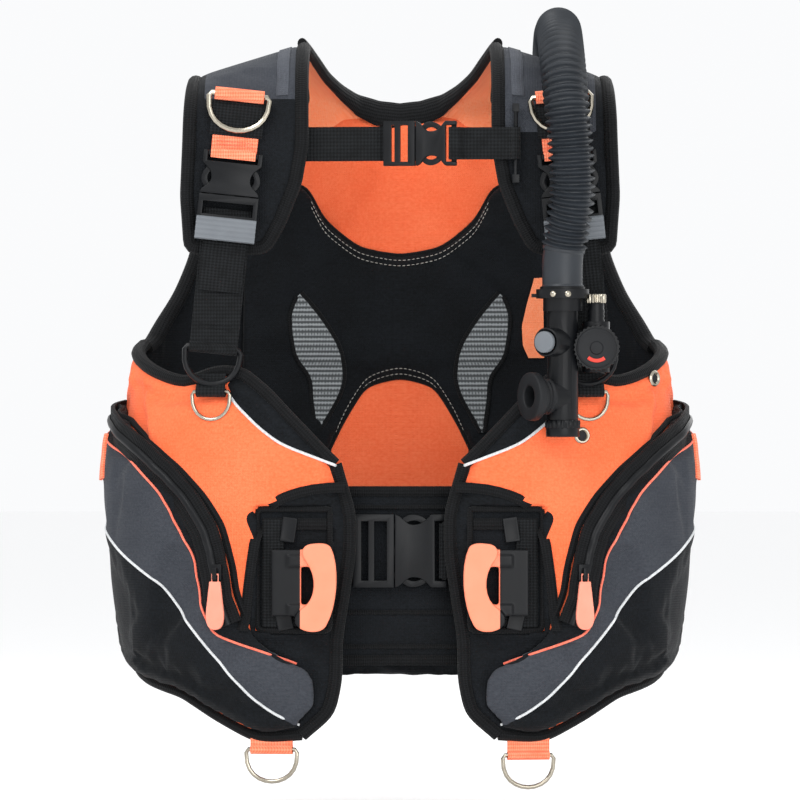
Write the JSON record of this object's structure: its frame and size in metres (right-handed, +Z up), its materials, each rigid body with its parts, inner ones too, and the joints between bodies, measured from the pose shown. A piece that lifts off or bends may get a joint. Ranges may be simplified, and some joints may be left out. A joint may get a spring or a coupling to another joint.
{
  "type": "buoyancy compensator vest",
  "caption": "Jacket-style diving buoyancy vest with inflatable lobes, shoulder straps, cummerbund, corrugated inflator hose, tank band, weight pockets and D-rings.",
  "frame": {"origin": "midway between the two shoulder yokes, at the level where a wearer or a hanger carries the vest", "axes": "+Z up, +X towards the wearer's left, -Y the way the wearer faces"},
  "size_m": [0.5254, 0.4894, 0.6862],
  "materials": {
    "orange_nylon": "woven nylon",
    "black_nylon": "woven nylon",
    "grey_nylon": "woven nylon",
    "black_webbing": "woven webbing",
    "coral_webbing": "woven webbing",
    "black_plastic": "moulded acetal",
    "grey_plastic": "moulded acetal",
    "coral_plastic": "moulded soft-touch plastic",
    "stainless_steel": "polished",
    "hose_rubber": "corrugated rubber",
    "soft_rubber": "soft silicone"
  },
  "bodies": {
    "vest": {"back_panel": "orange_nylon", "back_pad": "black_nylon", "backpack_plate": "black_plastic", "tank_band": "black_webbing", "cam_frame": "black_plastic", "carrying_handle": "black_webbing", "dump_valve": "black_plastic", "corrugated_hose": "hose_rubber", "shoulder_elbow": "black_plastic", "inflator_body": "black_plastic", "mouthpiece": "soft_rubber", "waist_buckle_female": "black_plastic", "waist_webbing_left": "black_webbing", "waist_webbing_right": "black_webbing", "chest_rail_left": "black_plastic", "chest_rail_right": "black_plastic", "left_lobe": "orange_nylon", "left_cargo_pocket": "grey_nylon", "left_shoulder_yoke": "grey_nylon", "left_cummerbund": "black_nylon", "left_shoulder_tab": "coral_webbing", "left_shoulder_buckle_female": "black_plastic", "left_shoulder_webbing": "black_webbing", "left_lower_tab": "coral_webbing", "right_lobe": "orange_nylon", "right_cargo_pocket": "grey_nylon", "right_shoulder_yoke": "grey_nylon", "right_cummerbund": "black_nylon", "right_shoulder_tab": "coral_webbing", "right_shoulder_buckle_female": "black_plastic", "right_shoulder_webbing": "black_webbing", "right_lower_tab": "coral_webbing"},
    "left_shoulder_ring": {"left_shoulder_d_ring": "stainless_steel"},
    "left_shoulder_clip": {"left_shoulder_buckle_male": "black_plastic"},
    "left_strap_end_ring": {"left_strap_ring": "black_plastic"},
    "left_small_ring": {"left_lobe_ring": "stainless_steel"},
    "left_lower_ring": {"left_lower_d_ring": "stainless_steel"},
    "left_weight_pocket": {"left_weight_pouch": "black_nylon", "left_weight_handle": "coral_plastic"},
    "left_zip": {"left_zip_slider": "black_plastic"},
    "left_zip_tab": {"left_zip_pull": "coral_plastic"},
    "right_shoulder_ring": {"right_shoulder_d_ring": "stainless_steel"},
    "right_shoulder_clip": {"right_shoulder_buckle_male": "black_plastic"},
    "right_strap_end_ring": {"right_strap_ring": "black_plastic"},
    "right_small_ring": {"right_lobe_ring": "stainless_steel"},
    "right_lower_ring": {"right_lower_d_ring": "stainless_steel"},
    "right_weight_pocket": {"right_weight_pouch": "black_nylon", "right_weight_handle": "coral_plastic"},
    "right_zip": {"right_zip_slider": "black_plastic"},
    "right_zip_tab": {"right_zip_pull": "coral_plastic"},
    "chest_strap": {"chest_strap_left": "black_webbing", "chest_strap_right": "black_webbing", "chest_buckle_female": "black_plastic"},
    "chest_clip": {"chest_buckle_male": "black_plastic"},
    "waist_clip": {"waist_buckle_male": "black_plastic"},
    "inflate_press": {"inflate_button": "grey_plastic"},
    "deflate_press": {"deflate_button": "black_plastic"},
    "dump_pull": {"dump_pull_knob": "coral_plastic"},
    "cam": {"cam_lever": "black_plastic"}
  },
  "joints": [
    {"name": "left_shoulder_ring_swing", "type": "hinge", "parent": "vest", "child": "left_shoulder_ring", "pos_m": [0.13971, -0.1075, -0.03022], "axis": [-0.9945, 0, -0.1045], "range_deg": [0, 20]},
    {"name": "left_shoulder_clip_slide", "type": "slide", "parent": "vest", "child": "left_shoulder_clip", "axis": [0.1045, 0, -0.9945], "range_m": [0, 0.028]},
    {"name": "left_strap_ring_swing", "type": "hinge", "parent": "vest", "child": "left_strap_end_ring", "pos_m": [0.16292, -0.1046, -0.25101], "axis": [-0.9945, 0, -0.1045], "range_deg": [0, 22]},
    {"name": "left_lobe_ring_swing", "type": "hinge", "parent": "vest", "child": "left_small_ring", "pos_m": [0.165, -0.10319, -0.289], "axis": [-0.9781, -0.2079, 0], "range_deg": [0, 35]},
    {"name": "left_lower_ring_swing", "type": "hinge", "parent": "vest", "child": "left_lower_ring", "pos_m": [0.112, -0.102, -0.606], "axis": [-0.9903, -0.1392, 0], "range_deg": [-75, 75]},
    {"name": "left_weight_pocket_pull", "type": "slide", "parent": "vest", "child": "left_weight_pocket", "axis": [0, -1, 0], "range_m": [0, 0.07]},
    {"name": "left_zip_run", "type": "slide", "parent": "vest", "child": "left_zip", "axis": [0.1201, 0.0253, 0.9924], "range_m": [0, 0.034]},
    {"name": "left_zip_pull_swing", "type": "hinge", "parent": "left_zip", "child": "left_zip_tab", "pos_m": [0.16082, -0.12061, -0.4476], "axis": [-0.9397, -0.342, 0], "range_deg": [0, 80]},
    {"name": "right_shoulder_ring_swing", "type": "hinge", "parent": "vest", "child": "right_shoulder_ring", "pos_m": [-0.13971, -0.1075, -0.03022], "axis": [-0.9945, 0, 0.1045], "range_deg": [0, 120]},
    {"name": "right_shoulder_clip_slide", "type": "slide", "parent": "vest", "child": "right_shoulder_clip", "axis": [-0.1045, 0, -0.9945], "range_m": [0, 0.028]},
    {"name": "right_strap_ring_swing", "type": "hinge", "parent": "vest", "child": "right_strap_end_ring", "pos_m": [-0.16292, -0.1046, -0.25101], "axis": [-0.9945, 0, 0.1045], "range_deg": [0, 90]},
    {"name": "right_lobe_ring_swing", "type": "hinge", "parent": "vest", "child": "right_small_ring", "pos_m": [-0.165, -0.10319, -0.289], "axis": [-0.9781, 0.2079, 0], "range_deg": [0, 100]},
    {"name": "right_lower_ring_swing", "type": "hinge", "parent": "vest", "child": "right_lower_ring", "pos_m": [-0.112, -0.102, -0.601], "axis": [-0.9903, 0.1392, 0], "range_deg": [-75, 75]},
    {"name": "right_weight_pocket_pull", "type": "slide", "parent": "vest", "child": "right_weight_pocket", "axis": [0, -1, 0], "range_m": [0, 0.07]},
    {"name": "right_zip_run", "type": "slide", "parent": "vest", "child": "right_zip", "axis": [-0.1201, 0.0253, 0.9924], "range_m": [0, 0.034]},
    {"name": "right_zip_pull_swing", "type": "hinge", "parent": "right_zip", "child": "right_zip_tab", "pos_m": [-0.16082, -0.12061, -0.4476], "axis": [-0.9397, 0.342, 0], "range_deg": [0, 80]},
    {"name": "chest_strap_height", "type": "slide", "parent": "vest", "child": "chest_strap", "axis": [0, 0, 1], "range_m": [-0.011, 0.011]},
    {"name": "chest_clip_slide", "type": "slide", "parent": "chest_strap", "child": "chest_clip", "axis": [-0.9918, 0.1276, 0], "range_m": [0, 0.027]},
    {"name": "waist_clip_slide", "type": "slide", "parent": "vest", "child": "waist_clip", "axis": [-1, 0, 0], "range_m": [0, 0.032]},
    {"name": "inflate_button_press", "type": "slide", "parent": "vest", "child": "inflate_press", "axis": [0.5501, 0.8351, 0], "range_m": [0, 0.003], "stiffness_N_per_m": 700},
    {"name": "deflate_button_press", "type": "slide", "parent": "vest", "child": "deflate_press", "axis": [0, 0, 1], "range_m": [0, 0.0028], "stiffness_N_per_m": 900},
    {"name": "dump_pull", "type": "slide", "parent": "vest", "child": "dump_pull", "axis": [0, 0, -1], "range_m": [0, 0.015], "stiffness_N_per_m": 300},
    {"name": "cam_lever_open", "type": "hinge", "parent": "vest", "child": "cam", "pos_m": [-0.028, 0.3139, -0.27], "axis": [0, 0, 1], "range_deg": [0, 150]}
  ]
}
